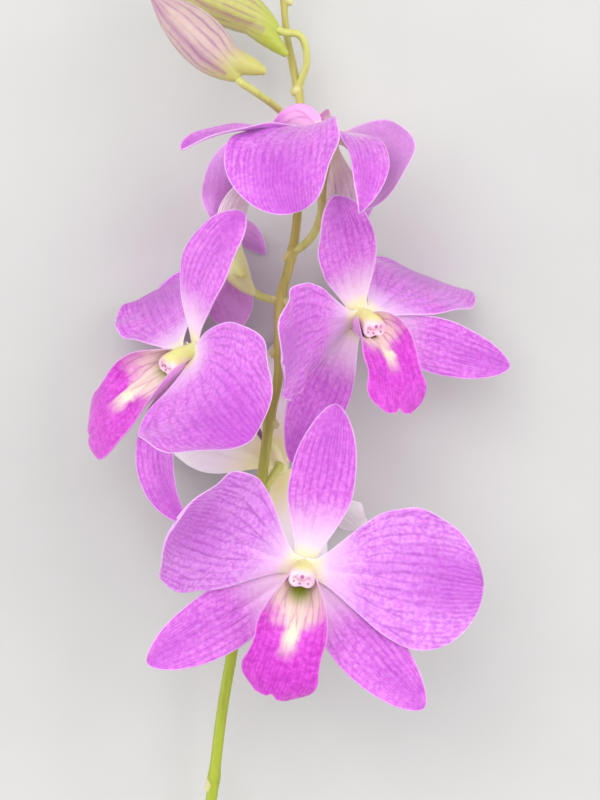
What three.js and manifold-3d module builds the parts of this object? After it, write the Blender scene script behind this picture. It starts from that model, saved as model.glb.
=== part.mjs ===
// A cut flowering stem of a Cooktown orchid, lying on a surface with its open side up.
// Millimetres. X and Y lie in the surface, Y runs towards the stem's tip, and Z is up.
import * as THREE from "three";
import { mergeVertices } from "three/addons/utils/BufferGeometryUtils.js";
import Module from "manifold-3d";

const wasm = await Module();
wasm.setup();

// Driving dimensions
const BLADE_THICKNESS = 0.8;
const SEPAL_LENGTH = 28;
const SEPAL_WIDTH = 12;
const PETAL_LENGTH = 29;
const PETAL_WIDTH = 24;
const LIP_LENGTH = 23;
const LIP_WIDTH = 15;
// How far from the bloom's middle each blade starts, outwards and towards the face
const SEPAL_RING = 2.6;
const SEPAL_SETBACK = -0.9;
const PETAL_RING = 2.5;
const PETAL_SETBACK = 0.3;
const LIP_RING = 2.9;
const LIP_SETBACK = 1;
const COLUMN_RADIUS = 1.7;
const COLUMN_ROOT = -4.4;
const PEDICEL_RADIUS = 0.85;
const BUD_STALK_RADIUS = 0.7;
// Air left between a stalk's end and the bloom or bud it carries
const SEAT_GAP = 0.3;
// The last straight piece of a stalk, which squares its end to what it carries
const STALK_FOOT = 0.8;

// Steps along and across the blades, and along and round the stalks
const SEPAL_GRID = [7, 4];
const PETAL_GRID = [8, 5];
const LIP_GRID = [9, 5];
const PATH_STEPS = 48;
// Spreads the steps along a blade, closer together towards its tip
const STEP_SPREAD = 1.15;
// How late along the blade its curl comes, and how round a sepal or petal swells from its base
const CURL_POWER = 1.3;
const SWELL_POWER = 1.3;
// Least half width of a sepal or petal, as a share of its full half width
const LEAST_WIDTH = 0.04;
// Fold of a flat blade in radians, in place of zero
const FLAT_FOLD = 0.02;
const STEM_SIDES = 8;
const STALK_SIDES = 6;
const STALK_STEPS = 6;
// Where a bloom's stalk bends, as a share of the way from its straight end to the joint
const STALK_BEND = 0.4;
const COLUMN_SIDES = 8;
const BUD_SIDES = 10;

// Half width of a lip from its claw to its front, as a share of the full half width:
// the claw, the side lobes that wrap the column, the waist and the middle lobe
const LIP_OUTLINE = [
  [0, 0.32], [0.1, 0.74], [0.22, 0.98], [0.36, 0.9], [0.5, 0.8],
  [0.64, 0.84], [0.78, 0.92], [0.9, 0.8], [1, 0.34],
];
// How far the lip's sides stand up at a share of its length, in degrees
const LIP_FOLD = [[0, 50], [0.12, 95], [0.28, 100], [0.42, 60], [0.58, 12], [0.75, -8], [1, -20]];
// Half width of a bud from its root to its tip, as a share of the greatest
const BUD_OUTLINE = [
  [0, 0.2], [0.1, 0.55], [0.24, 0.87], [0.42, 1], [0.6, 0.93], [0.78, 0.68], [0.92, 0.34], [1, 0.1],
];
const BUD_FLATNESS = 0.86;
const SPUR_START = 0.3;
// The spur at a bud's root: share of the way out, and radius as a share of the bud's width
const SPUR_PROFILE = [[0, 0.32], [0.45, 0.25], [0.75, 0.17], [1, 0.07]];
// The column: its midline's Y and Z, and its radius as a share of COLUMN_RADIUS
const COLUMN_PROFILE = [
  [0, COLUMN_ROOT, 0.55], [0, -2.6, 1], [0.1, 0, 0.92], [0.2, 3, 1], [-0.1, 4.8, 1.05], [-0.4, 5.6, 0.55],
];
// The chin behind the lip, in the same way
const CHIN_PROFILE = [[0, -3, 0.7], [-2.6, -3.8, 0.88], [-5, -5.2, 0.68], [-6.6, -6.6, 0.26]];
// A scale leaf: share of its length and radius
const SCALE_PROFILE = [[-0.9, 0.5], [-0.1, 1.25], [0.5, 0.75], [1, 0.2]];

// Each blade's own shape. aim is its direction round the face, clockwise from the dorsal side.
// lift tilts its root towards the face, curl bends it along its length, sweep bends it sideways.
// turn and twist roll it about its midrib, fold cups it across and lean slants its two halves.
// Degrees and millimetres.
const SEPAL = {
  kind: "sepal", lift: 8, curl: -10, sweep: 0, turn: 0, twist: 0, fold: 14, lean: 0,
  length: SEPAL_LENGTH, width: SEPAL_WIDTH, base: 0.36, peak: 0.48, tip: 0.55,
  ring: SEPAL_RING, setback: SEPAL_SETBACK, grid: SEPAL_GRID,
};
const PETAL = {
  kind: "petal", lift: 8, curl: -8, sweep: 0, turn: 0, twist: 0, fold: 10, lean: 0,
  length: PETAL_LENGTH, width: PETAL_WIDTH, base: 0.16, peak: 0.6, tip: 0.5,
  ring: PETAL_RING, setback: PETAL_SETBACK, grid: PETAL_GRID,
};
const LIP = {
  kind: "lip", lift: 50, curl: -75, sweep: 0, turn: 0, twist: 0, fold: 0, lean: 0,
  length: LIP_LENGTH, width: LIP_WIDTH,
  ring: LIP_RING, setback: LIP_SETBACK, grid: LIP_GRID,
};

// The six open blooms from the lowest to the highest. at is the middle of the bloom above the
// surface. yaw turns its face to the right, pitch up the stem, and roll turns it in its plane.
const BLOOMS = {
  bloom_1: {
    at: [0.5, -30.3, 36], yaw: 0, pitch: -3, roll: -8,
    dorsal_sepal: { aim: 5, lift: 9, curl: -5, sweep: -4, fold: 18 },
    petal_left: { aim: -72, lift: 16, curl: 55, turn: 9, fold: 3, width: 25, tip: 0.48 },
    petal_right: { aim: 84, lift: 10, sweep: 6, turn: -2, length: 30, width: 25.5, lean: 7 },
    sepal_left: { aim: -131, lift: 3, curl: 6, sweep: 5, length: 30, lean: -5 },
    sepal_right: { aim: 134, lift: 8, curl: -5, sweep: -7, length: 30.5 },
    lip: { aim: 181, lift: 40, curl: -70, sweep: 12, fold: -8, length: 22, width: 15.5 },
  },
  bloom_2: {
    at: [-4, -12.6, 10], yaw: 180, pitch: 0, roll: 158,
    dorsal_sepal: { aim: -10, lift: 8, curl: -10, length: 25 },
    petal_left: { aim: -57, lift: 14, curl: -10, length: 20, width: 15 },
    petal_right: { aim: 29, lift: 22, curl: 0, turn: -60, length: 19, width: 14 },
    sepal_left: {
      aim: -136, lift: 21, curl: -14, sweep: 6, fold: 18, length: 26, width: 14, base: 0.26, tip: 0.75,
    },
    sepal_right: { aim: 154, lift: 24, curl: 0, length: 25, width: 13, base: 0.26 },
    lip: { aim: 188, lift: 60, curl: -75, length: 17, width: 12 },
  },
  bloom_3: {
    at: [-20.5, 8.4, 27], yaw: -52, pitch: -18, roll: -32,
    dorsal_sepal: {
      aim: -11, lift: 5, curl: -43, sweep: 33, turn: 10, twist: -10, fold: 6, base: 0.28, setback: -1.8,
    },
    petal_left: {
      aim: -89, lift: -36, curl: 12, sweep: -28, turn: -40, twist: -35, fold: 24, width: 22.5,
      setback: 0.5,
    },
    petal_right: {
      aim: 72, lift: 35, curl: -35, sweep: 24, turn: 30, twist: 29, fold: 46,
      length: 30, width: 30.5,
    },
    sepal_left: { aim: -126, lift: -25, curl: -2, fold: 20, setback: -2.3 },
    sepal_right: {
      aim: 160, lift: 60, curl: -80, sweep: -38, twist: 20, fold: 27,
      length: 32.5, width: 11, lean: 40, tip: 0.8, setback: -1.4,
    },
    lip: { aim: 202, lift: 70, curl: -74, sweep: 5, twist: -28, length: 24, setback: 1.3 },
  },
  bloom_4: {
    at: [11.4, 15.1, 26], yaw: 28, pitch: -12, roll: 8,
    dorsal_sepal: { aim: -18, lift: 18, curl: 14, sweep: -12, turn: 5, fold: 19, length: 27 },
    petal_left: {
      aim: -90, lift: 18, curl: 37, sweep: -13, turn: 14, twist: -4, fold: -6,
      length: 27, width: 21.5,
    },
    petal_right: {
      aim: 71, lift: -25, curl: -36, sweep: 34, turn: 48, twist: 34, fold: 7, length: 29.5,
    },
    sepal_left: { aim: -145, lift: 4, curl: 13, twist: -10, fold: 16, length: 27.5, setback: -1.5 },
    sepal_right: { aim: 116, lift: 10, curl: 7, sweep: -7, fold: 15, length: 29, width: 10.5 },
    lip: { aim: 184, lift: 87, curl: -78, sweep: 6, turn: -13, twist: 19, length: 21, width: 13.5 },
  },
  bloom_5: {
    at: [-13.2, 27.9, 15], yaw: -105, pitch: 62, roll: 0, chin: 75,
    dorsal_sepal: {
      aim: -95, lift: 60, curl: -140, sweep: 36, turn: 17, fold: 36, length: 17.5, width: 7.5,
      tip: 0.8,
    },
    petal_left: { aim: -140, lift: 48, curl: -20, turn: 12, length: 13, width: 11.5 },
    petal_right: {
      aim: 22, lift: 55, curl: -12, sweep: -22, turn: -4, twist: 30, fold: 40,
      length: 22, width: 18, lean: -24,
    },
    sepal_left: { aim: -152, lift: -60, curl: -25, turn: -35, length: 13, width: 10 },
    sepal_right: {
      aim: 58, lift: 55, curl: -46, sweep: -60, twist: 23, fold: 30, length: 17.5, width: 7,
      setback: -1.6,
    },
    lip: { aim: 145, lift: 45, curl: -60, length: 8, width: 8, ring: 2.5 },
  },
  bloom_6: {
    at: [5.1, 47.9, 28], yaw: -8, pitch: 118, roll: -126,
    dorsal_sepal: {
      aim: 16, lift: -22, curl: -100, sweep: -3, turn: -14, twist: 12, fold: 16, width: 9, tip: 0.8,
    },
    petal_left: {
      aim: -50, lift: -10, curl: -162, sweep: 14, turn: 14, twist: 14, fold: 8, length: 22.5,
      width: 21, lean: -12,
    },
    petal_right: {
      aim: 75, lift: -22, curl: -112, sweep: 6, turn: 6, fold: 22, length: 29.5, width: 23, lean: -8,
    },
    sepal_left: { aim: -120, lift: -25, curl: -55, turn: -19, length: 22, width: 10 },
    sepal_right: {
      aim: 112, lift: -8, curl: -44, sweep: -6, turn: 17, twist: 26, fold: 24, length: 29.5,
      width: 8, lean: 30, setback: 1.8,
    },
    lip: {
      aim: -178, lift: 44, curl: -90, sweep: -10, turn: 11, twist: 4, fold: 10, length: 13, width: 12.5,
    },
  },
};

// Closed buds: the middle of the root, the tip, the greatest width, and the spur's point
const BUDS = {
  bud_1: { root: [-11.4, 58.8, 27], tip: [-27.4, 74.5, 26], width: 9.2, spur: [-6.2, 60.2, 26.4] },
  bud_2: { root: [-4.2, 69.6, 16.5], tip: [-26.2, 79.4, 16], width: 8.4, spur: [-2.4, 64.8, 16.4] },
  bud_3: { root: [-5.4, 85.4, 12.2], tip: [-10.4, 92.4, 12], width: 4.2, spur: [-4, 86, 12.2] },
  bud_4: { root: [2, 92.4, 12], tip: [4.6, 97.8, 11.8], width: 3.2, spur: [1.3, 93.2, 12] },
};

// The stem's midline from the cut end to the tip, with the radius there
const STEM_LINE = [
  [-27, -141, 0.9, 1.1], [-20.4, -104, 6.4, 1.1], [-16.4, -72, 11, 1.08], [-14.8, -59.2, 12.4, 1.05],
  [-12.7, -47, 14.4, 1.05], [-10, -31.2, 16, 1], [-7.3, -15.6, 17.6, 1], [-5.6, -3.2, 18.8, 0.95],
  [-4.1, 4, 19.2, 0.92], [-3.7, 18, 19, 0.92], [-1.6, 27, 17.6, 0.88], [-0.5, 34.8, 15.6, 0.86],
  [0.1, 55.8, 11.4, 0.8], [-1.3, 63.4, 11, 0.76], [-2.5, 69.5, 11, 0.7], [-3, 76.2, 11.2, 0.64],
  [-2, 84.6, 11.6, 0.56], [-0.4, 92.4, 12, 0.34],
];
// Joints of the stem: the place on its midline, which way its scale points, and its length
const JOINTS = {
  sheath: { at: [-16.4, -72, 11], toward: [0.5, 1, 0], length: 3.2 },
  lower: { at: [-10.4, -33, 15.8], toward: [1, 0.4, 0.6], length: 2.2 },
  back: { at: [-7.9, -18.6, 17.2], toward: [0.9, 0.6, 0], length: 2.2 },
  left: { at: [-5.7, -4, 18.7], toward: [-1, 0.6, 0.2], length: 2.2 },
  right: { at: [-4, 9.3, 19.1], toward: [1, 0.6, 0.4], length: 2.2 },
  behind: { at: [-3.6, 18.6, 18.9], toward: [-1, 0.3, 0], length: 2.6 },
  high: { at: [-1.5, 27.4, 17.5], toward: [1, 0.8, 0], length: 2.2 },
  bud_low: { at: [-0.1, 49.4, 12.7], toward: [-1, 0.6, 0.6], length: 1.8 },
  bud_high: { at: [-0.4, 59.2, 11.2], toward: [1, 0.8, 0], length: 1.8 },
  top: { at: [-3, 76.6, 11.2], toward: [-1, 0.8, 0], length: 2.2 },
};
// Points that the bud stalks pass on their way from the joint to the bud
const BUD_STALKS = {
  bud_1: { from: JOINTS.bud_low.at, through: [[-3.4, 53.8, 18], [-8, 56.6, 24.6]] },
  bud_2: { from: JOINTS.bud_high.at, through: [[1.3, 64.2, 14], [0, 68.6, 16]] },
  bud_3: { from: JOINTS.top.at, through: [[-4, 82, 11.8]] },
  bud_4: { from: [-0.9, 90, 11.9], through: [[0.6, 91, 12]] },
};
// How far each bloom's stalk runs straight before it bends towards its joint
const BLOOM_STALKS = {
  bloom_1: { joint: "lower", lead: 7 },
  bloom_2: { joint: "back", lead: 2 },
  bloom_3: { joint: "left", lead: 5 },
  bloom_4: { joint: "right", lead: 6 },
  bloom_5: { joint: "behind", lead: 5 },
  bloom_6: { joint: "high", lead: 9 },
};

const STEM_COLOUR = 0x8a9a3c;
const BUD_COLOUR = 0xcfc2a4;
const BLOOM_COLOURS = {
  dorsal_sepal: 0xc774d6, petal_left: 0xc468d4, petal_right: 0xc468d4,
  sepal_left: 0xca7cd8, sepal_right: 0xca7cd8, lip: 0xa820a0, column: 0xe6d6dc,
};

// Smooth line through [place, value] pairs
function along(table, u) {
  const last = table.length - 1;
  let i = 0;
  while (i < last - 1 && u > table[i + 1][0]) i += 1;
  const slope = (k) => {
    const [a, b] = [table[Math.max(k - 1, 0)], table[Math.min(k + 1, last)]];
    return (b[1] - a[1]) / (b[0] - a[0]);
  };
  const [x0, y0] = table[i];
  const [x1, y1] = table[i + 1];
  const step = x1 - x0;
  const t = THREE.MathUtils.clamp((u - x0) / step, 0, 1);
  const s = 1 - t;
  return y0 * s * s * (1 + 2 * t) + y1 * t * t * (3 - 2 * t)
    + step * t * s * (slope(i) * s - slope(i + 1) * t);
}

function halfWidth(shape, u) {
  if (shape.kind === "lip") return (along(LIP_OUTLINE, u) * shape.width) / 2;
  const { base, peak, tip, width } = shape;
  const rise = base + (1 - base) * Math.sin((Math.PI / 2) * Math.min(u / peak, 1)) ** SWELL_POWER;
  const fall = Math.cos((Math.PI / 2) * Math.max((u - peak) / (1 - peak), 0)) ** tip;
  return (Math.max(u < peak ? rise : fall, LEAST_WIDTH) * width) / 2;
}

// The midrib's point and its three directions at PATH_STEPS + 1 places
function midrib(shape) {
  const rad = THREE.MathUtils.degToRad;
  const aim = rad(shape.aim);
  const point = new THREE.Vector3(
    shape.ring * Math.sin(aim), shape.ring * Math.cos(aim), shape.setback);
  const places = [];
  let before = null;
  for (let i = 0; i <= PATH_STEPS; i += 1) {
    const u = i / PATH_STEPS;
    const a = rad(shape.aim + shape.sweep * u);
    const e = rad(shape.lift + shape.curl * u ** CURL_POWER);
    const forward = new THREE.Vector3(
      Math.cos(e) * Math.sin(a), Math.cos(e) * Math.cos(a), Math.sin(e));
    const up = new THREE.Vector3(
      -Math.sin(e) * Math.sin(a), -Math.sin(e) * Math.cos(a), Math.cos(e));
    if (before) {
      point.addScaledVector(before.clone().add(forward), shape.length / PATH_STEPS / 2);
    }
    places.push({ point: point.clone(), forward, up, side: forward.clone().cross(up) });
    before = forward;
  }
  return places;
}

// A point of the blade's middle surface, v from -1 to 1 across, and its thickness direction
function bladePoint(shape, places, u, v) {
  const rad = THREE.MathUtils.degToRad;
  const at = Math.min(u * PATH_STEPS, PATH_STEPS - 1e-9);
  const i = Math.floor(at);
  const mix = (key) => places[i][key].clone().lerp(places[i + 1][key], at - i);
  const roll = rad(shape.turn + shape.twist * u);
  const side = mix("side").multiplyScalar(Math.cos(roll)).addScaledVector(mix("up"), Math.sin(roll));
  const up = mix("up").multiplyScalar(Math.cos(roll)).addScaledVector(mix("side"), -Math.sin(roll));
  const extra = shape.kind === "lip" ? along(LIP_FOLD, u) : 0;
  const fold = rad(shape.fold + extra) || FLAT_FOLD;
  const w = halfWidth(shape, u);
  const across = (w / fold) * Math.sin(fold * v);
  const slant = across * Math.sin(rad(shape.lean));
  const raised = (w / fold) * (1 - Math.cos(fold * v));
  const normal = up.clone().multiplyScalar(Math.cos(fold * v))
    .addScaledVector(side, -Math.sin(fold * v)).normalize();
  const point = mix("point").addScaledVector(mix("forward"), slant)
    .addScaledVector(side, across).addScaledVector(up, raised);
  return { point, normal };
}

// A thin closed blade: one grid of points on each face, split alike, and a rim between them
function bladeGeometry(shape) {
  const [n, m] = shape.grid;
  const places = midrib(shape);
  const positions = [];
  for (const face of [0.5, -0.5]) {
    for (let i = 0; i <= n; i += 1) {
      const u = Math.sin((Math.PI / 2) * (i / n)) ** STEP_SPREAD;
      for (let j = 0; j <= m; j += 1) {
        const { point, normal } = bladePoint(shape, places, u, (2 * j) / m - 1);
        positions.push(...point.addScaledVector(normal, face * BLADE_THICKNESS).toArray());
      }
    }
  }
  const low = (n + 1) * (m + 1);
  const id = (i, j) => i * (m + 1) + j;
  const index = [];
  const quad = (a, b, c, d) => index.push(a, b, c, a, c, d);
  for (let i = 0; i < n; i += 1) {
    for (let j = 0; j < m; j += 1) {
      const [a, b, c, d] = [id(i, j), id(i, j + 1), id(i + 1, j + 1), id(i + 1, j)];
      index.push(a, b, c, a, c, d);
      index.push(low + a, low + c, low + b, low + a, low + d, low + c);
    }
  }
  const rim = [];
  for (let j = 0; j < m; j += 1) rim.push(id(0, j));
  for (let i = 0; i < n; i += 1) rim.push(id(i, m));
  for (let j = m; j > 0; j -= 1) rim.push(id(n, j));
  for (let i = n; i > 0; i -= 1) rim.push(id(i, 0));
  rim.forEach((a, k) => {
    const b = rim[(k + 1) % rim.length];
    quad(a, low + a, low + b, b);
  });
  const geometry = new THREE.BufferGeometry();
  geometry.setAttribute("position", new THREE.Float32BufferAttribute(positions, 3));
  geometry.setIndex(index);
  return geometry;
}

// A closed round body along points, with a radius at each and, where given, a flatter height
function sweptGeometry(points, radii, sides, flatness = 1) {
  const curve = points.map((p) => new THREE.Vector3(...p));
  const count = curve.length;
  const positions = [];
  let side = new THREE.Vector3(1, 0, 0);
  for (let i = 0; i < count; i += 1) {
    const forward = curve[Math.min(i + 1, count - 1)].clone()
      .sub(curve[Math.max(i - 1, 0)]).normalize();
    if (Math.abs(forward.dot(side)) > 0.95) side = new THREE.Vector3(0, 0, 1);
    side = side.clone().addScaledVector(forward, -side.dot(forward)).normalize();
    const up = forward.clone().cross(side);
    for (let k = 0; k < sides; k += 1) {
      const angle = (2 * Math.PI * (k + 0.5)) / sides;
      const p = curve[i].clone()
        .addScaledVector(side, radii[i] * Math.cos(angle))
        .addScaledVector(up, radii[i] * flatness * Math.sin(angle));
      positions.push(...p.toArray());
    }
  }
  const index = [];
  for (let i = 0; i < count - 1; i += 1) {
    for (let k = 0; k < sides; k += 1) {
      const [a, b] = [i * sides + k, i * sides + ((k + 1) % sides)];
      index.push(a, b, b + sides, a, b + sides, a + sides);
    }
  }
  for (const [ring, centre, flip] of [[0, curve[0], true], [count - 1, curve[count - 1], false]]) {
    const middle = positions.length / 3;
    positions.push(...centre.toArray());
    for (let k = 0; k < sides; k += 1) {
      const [a, b] = [ring * sides + k, ring * sides + ((k + 1) % sides)];
      index.push(...(flip ? [middle, b, a] : [middle, a, b]));
    }
  }
  const geometry = new THREE.BufferGeometry();
  geometry.setAttribute("position", new THREE.Float32BufferAttribute(positions, 3));
  geometry.setIndex(index);
  return geometry;
}

// Points closer than this are one
const MERGE_DISTANCE = 1e-4;

function toSolid(geometry) {
  const bare = geometry.clone();
  bare.deleteAttribute("normal");
  bare.deleteAttribute("uv");
  const merged = mergeVertices(bare, MERGE_DISTANCE);
  return new wasm.Manifold(new wasm.Mesh({
    numProp: 3,
    vertProperties: new Float32Array(merged.attributes.position.array),
    triVerts: new Uint32Array(merged.index.array),
  }));
}

function toGeometry(solid) {
  const mesh = solid.getMesh();
  const geometry = new THREE.BufferGeometry();
  geometry.setAttribute("position", new THREE.BufferAttribute(mesh.vertProperties, 3));
  geometry.setIndex(new THREE.BufferAttribute(mesh.triVerts, 1));
  return geometry;
}

function join(geometries) {
  return toGeometry(geometries.map(toSolid).reduce((all, one) => all.add(one)));
}

// What dips below the surface is cut flat there, which gives the small flat spots it rests on
const REACH = 400;
const DEPTH = 20;
const ground = new THREE.BoxGeometry(REACH, REACH, DEPTH).translate(0, 0, -DEPTH / 2);

function cutAtGround(geometry) {
  geometry.computeBoundingBox();
  if (geometry.boundingBox.min.z >= 0) return geometry;
  return toGeometry(toSolid(geometry).subtract(toSolid(ground)));
}

function makeMesh(name, geometry, colour, roughness = 0.55) {
  const material = new THREE.MeshStandardMaterial({ color: colour, roughness, metalness: 0 });
  const mesh = new THREE.Mesh(geometry, material);
  mesh.name = name;
  return mesh;
}

function bloomFrame({ at, yaw, pitch, roll }) {
  const rad = THREE.MathUtils.degToRad;
  return new THREE.Matrix4().makeTranslation(...at)
    .multiply(new THREE.Matrix4().makeRotationY(rad(yaw)))
    .multiply(new THREE.Matrix4().makeRotationX(-rad(pitch)))
    .multiply(new THREE.Matrix4().makeRotationZ(rad(roll)));
}

// The column with its anther cap, and the chin that its foot makes behind it
function columnGeometry(chinAim = 180) {
  const body = (profile) => sweptGeometry(
    profile.map(([y, z]) => [0, y, z]), profile.map((row) => row[2] * COLUMN_RADIUS), COLUMN_SIDES);
  const chin = body(CHIN_PROFILE).rotateZ(THREE.MathUtils.degToRad(180 - chinAim));
  return join([body(COLUMN_PROFILE), chin]);
}

function makeBloom(name, bloom) {
  const frame = bloomFrame(bloom);
  const group = new THREE.Group();
  const add = (part, geometry) => {
    const placed = cutAtGround(geometry.applyMatrix4(frame));
    group.add(makeMesh(`${name}_${part}`, placed, BLOOM_COLOURS[part]));
  };
  add("dorsal_sepal", bladeGeometry({ ...SEPAL, ...bloom.dorsal_sepal }));
  add("sepal_left", bladeGeometry({ ...SEPAL, ...bloom.sepal_left }));
  add("sepal_right", bladeGeometry({ ...SEPAL, ...bloom.sepal_right }));
  add("petal_left", bladeGeometry({ ...PETAL, ...bloom.petal_left }));
  add("petal_right", bladeGeometry({ ...PETAL, ...bloom.petal_right }));
  add("lip", bladeGeometry({ ...LIP, ...bloom.lip }));
  add("column", columnGeometry(bloom.chin));
  return group;
}

// A stalk from a joint of the stem to a bloom's back, leaving the bloom along its axis
function bloomStalk(name) {
  const { joint, lead } = BLOOM_STALKS[name];
  const frame = bloomFrame(BLOOMS[name]);
  const behind = COLUMN_ROOT - SEAT_GAP;
  const onAxis = (back) => new THREE.Vector3(0, 0, behind - back).applyMatrix4(frame);
  const start = new THREE.Vector3(...JOINTS[joint].at);
  const near = onAxis(lead);
  const bend = near.clone().lerp(start, STALK_BEND);
  const curve = new THREE.CubicBezierCurve3(start, bend, near, onAxis(STALK_FOOT));
  const points = [...curve.getPoints(STALK_STEPS), onAxis(0)].map((p) => p.toArray());
  return sweptGeometry(points, points.map(() => PEDICEL_RADIUS), STALK_SIDES);
}

// A stalk from the stem through given points to just short of a bud's root
function budStalk(name) {
  const { from, through } = BUD_STALKS[name];
  const root = new THREE.Vector3(...BUDS[name].root);
  const back = root.clone().sub(new THREE.Vector3(...BUDS[name].tip)).normalize();
  const seat = root.clone().addScaledVector(back, SEAT_GAP);
  const foot = seat.clone().addScaledVector(back, STALK_FOOT);
  const way = [from, ...through].map((p) => new THREE.Vector3(...p));
  const curve = new THREE.CatmullRomCurve3([...way, foot]);
  const points = [...curve.getPoints(STALK_STEPS), seat].map((p) => p.toArray());
  return sweptGeometry(points, points.map(() => BUD_STALK_RADIUS), STALK_SIDES);
}

// A scale leaf at a joint: a short collar round the stem that runs out to a point on one side
function scaleLeaf({ at, toward, length }) {
  const base = new THREE.Vector3(...at);
  const out = new THREE.Vector3(...toward).normalize();
  const points = SCALE_PROFILE.map(([t]) => base.clone().addScaledVector(out, t * length).toArray());
  return sweptGeometry(points, SCALE_PROFILE.map((row) => row[1]), STALK_SIDES);
}

function stemGeometry() {
  const points = STEM_LINE.map((row) => row.slice(0, 3));
  const line = sweptGeometry(points, STEM_LINE.map((row) => row[3]), STEM_SIDES);
  return join([
    line,
    ...Object.keys(BLOOM_STALKS).map(bloomStalk),
    ...Object.keys(BUD_STALKS).map(budStalk),
    ...Object.values(JOINTS).map(scaleLeaf),
  ]);
}

// A bud's body, a little flatter than round, with the spur at its root
function budGeometry({ root, tip, width, spur }) {
  const from = new THREE.Vector3(...root);
  const to = new THREE.Vector3(...tip);
  const points = BUD_OUTLINE.map(([t]) => from.clone().lerp(to, t).toArray());
  const radii = BUD_OUTLINE.map((row) => (row[1] * width) / 2);
  const body = sweptGeometry(points, radii, BUD_SIDES, BUD_FLATNESS);
  const middle = from.clone().lerp(to, SPUR_START);
  const peak = new THREE.Vector3(...spur);
  const spurPoints = SPUR_PROFILE.map(([t]) => middle.clone().lerp(peak, t).toArray());
  const spurRadii = SPUR_PROFILE.map((row) => row[1] * width);
  return join([body, sweptGeometry(spurPoints, spurRadii, COLUMN_SIDES)]);
}

const model = new THREE.Group();
for (const [name, bloom] of Object.entries(BLOOMS)) model.add(makeBloom(name, bloom));
for (const [name, bud] of Object.entries(BUDS)) {
  model.add(makeMesh(name, budGeometry(bud), BUD_COLOUR));
}
model.add(makeMesh("stem", cutAtGround(stemGeometry()), STEM_COLOUR));

// The origin is under the middle of the whole stem
const box = new THREE.Box3().setFromObject(model);
const middle = box.getCenter(new THREE.Vector3());
model.position.set(-middle.x, -middle.y, -box.min.z);

export default model;
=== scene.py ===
# Looks of a cut Cooktown orchid stem that lies on a pale surface. Shapes are worked out in
# millimetres in the flower's own coordinates, then moved to the part's frame in metres.
import math

import bpy
import numpy as np
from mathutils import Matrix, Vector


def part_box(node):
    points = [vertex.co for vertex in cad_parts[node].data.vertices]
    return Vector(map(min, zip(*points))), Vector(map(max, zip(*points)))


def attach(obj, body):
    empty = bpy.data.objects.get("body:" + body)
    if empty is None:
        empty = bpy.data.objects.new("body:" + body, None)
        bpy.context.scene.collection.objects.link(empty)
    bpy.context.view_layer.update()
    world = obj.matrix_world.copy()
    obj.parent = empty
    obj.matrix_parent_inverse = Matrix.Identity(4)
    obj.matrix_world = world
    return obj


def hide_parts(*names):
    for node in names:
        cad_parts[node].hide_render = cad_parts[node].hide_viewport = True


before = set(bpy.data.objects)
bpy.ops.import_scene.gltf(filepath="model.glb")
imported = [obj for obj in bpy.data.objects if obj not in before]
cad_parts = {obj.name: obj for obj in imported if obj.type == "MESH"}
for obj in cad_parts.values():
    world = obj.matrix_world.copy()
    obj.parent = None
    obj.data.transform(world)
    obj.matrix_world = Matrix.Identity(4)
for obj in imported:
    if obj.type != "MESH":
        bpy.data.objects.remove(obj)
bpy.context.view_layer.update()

MM = 0.001
CAD_THICKNESS = 0.8
PATH_STEPS = 48
# The solids' steps along a blade lie closer together towards its tip
STEP_SPREAD = 1.15
# How late along a blade its curl comes, and how round a sepal or petal swells from its base
CURL_POWER = 1.3
SWELL_POWER = 1.3
LEAST_WIDTH = 0.04
# Fold of a flat blade in radians, in place of zero
FLAT_FOLD = 0.02
# Least height of any point above the surface, in millimetres
CLEARANCE = 0.01
QUARTER_TURN = math.pi / 2

# Half width of a lip from its claw to its front, and how far its sides stand up in degrees.
# The side lobes are fuller beside the column than those of the solids.
LIP_OUTLINE = [
    (-0.07, 0.3), (0, 0.6), (0.08, 0.86), (0.2, 1), (0.34, 0.94), (0.5, 0.82),
    (0.64, 0.84), (0.78, 0.92), (0.9, 0.82), (1, 0.4),
]
LIP_FOLD = [
    (-0.07, 100), (0, 125), (0.1, 125), (0.2, 108), (0.34, 70), (0.48, 30), (0.62, 6), (0.78, -8),
    (1, -20),
]
# Half width of a bud from its root to its tip, as a share of the greatest
BUD_OUTLINE = [
    (0, 0.2), (0.1, 0.55), (0.24, 0.87), (0.42, 1), (0.6, 0.93), (0.78, 0.68), (0.92, 0.34), (1, 0.1),
]
# The chin behind a lip: its midline's height and place along the axis, and its radius
CHIN_LINE = [(0, -3, 1.2), (-2.6, -3.8, 1.5), (-5, -5.2, 1.16), (-6.6, -6.6, 0.44)]

# Each blade's own values. aim is its direction round the face, clockwise from the dorsal side.
# lift tilts its root towards the face, curl and sweep bend it along its length, turn and twist
# roll it about its midrib, fold cups it across, and lean slants its two halves.
SEPAL = dict(
    kind="sepal", lift=8, curl=-10, sweep=0, turn=0, twist=0, fold=14, lean=0,
    length=28, width=12, base=0.36, peak=0.48, tip=0.55, ring=2.6, setback=-0.9,
)
PETAL = dict(
    kind="petal", lift=8, curl=-8, sweep=0, turn=0, twist=0, fold=10, lean=0,
    length=29, width=24, base=0.16, peak=0.6, tip=0.5, ring=2.5, setback=0.3, grid=(8, 5),
)
LIP = dict(
    kind="lip", lift=50, curl=-75, sweep=0, turn=0, twist=0, fold=0, lean=0,
    length=23, width=15, ring=2.9, setback=1,
)

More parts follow.
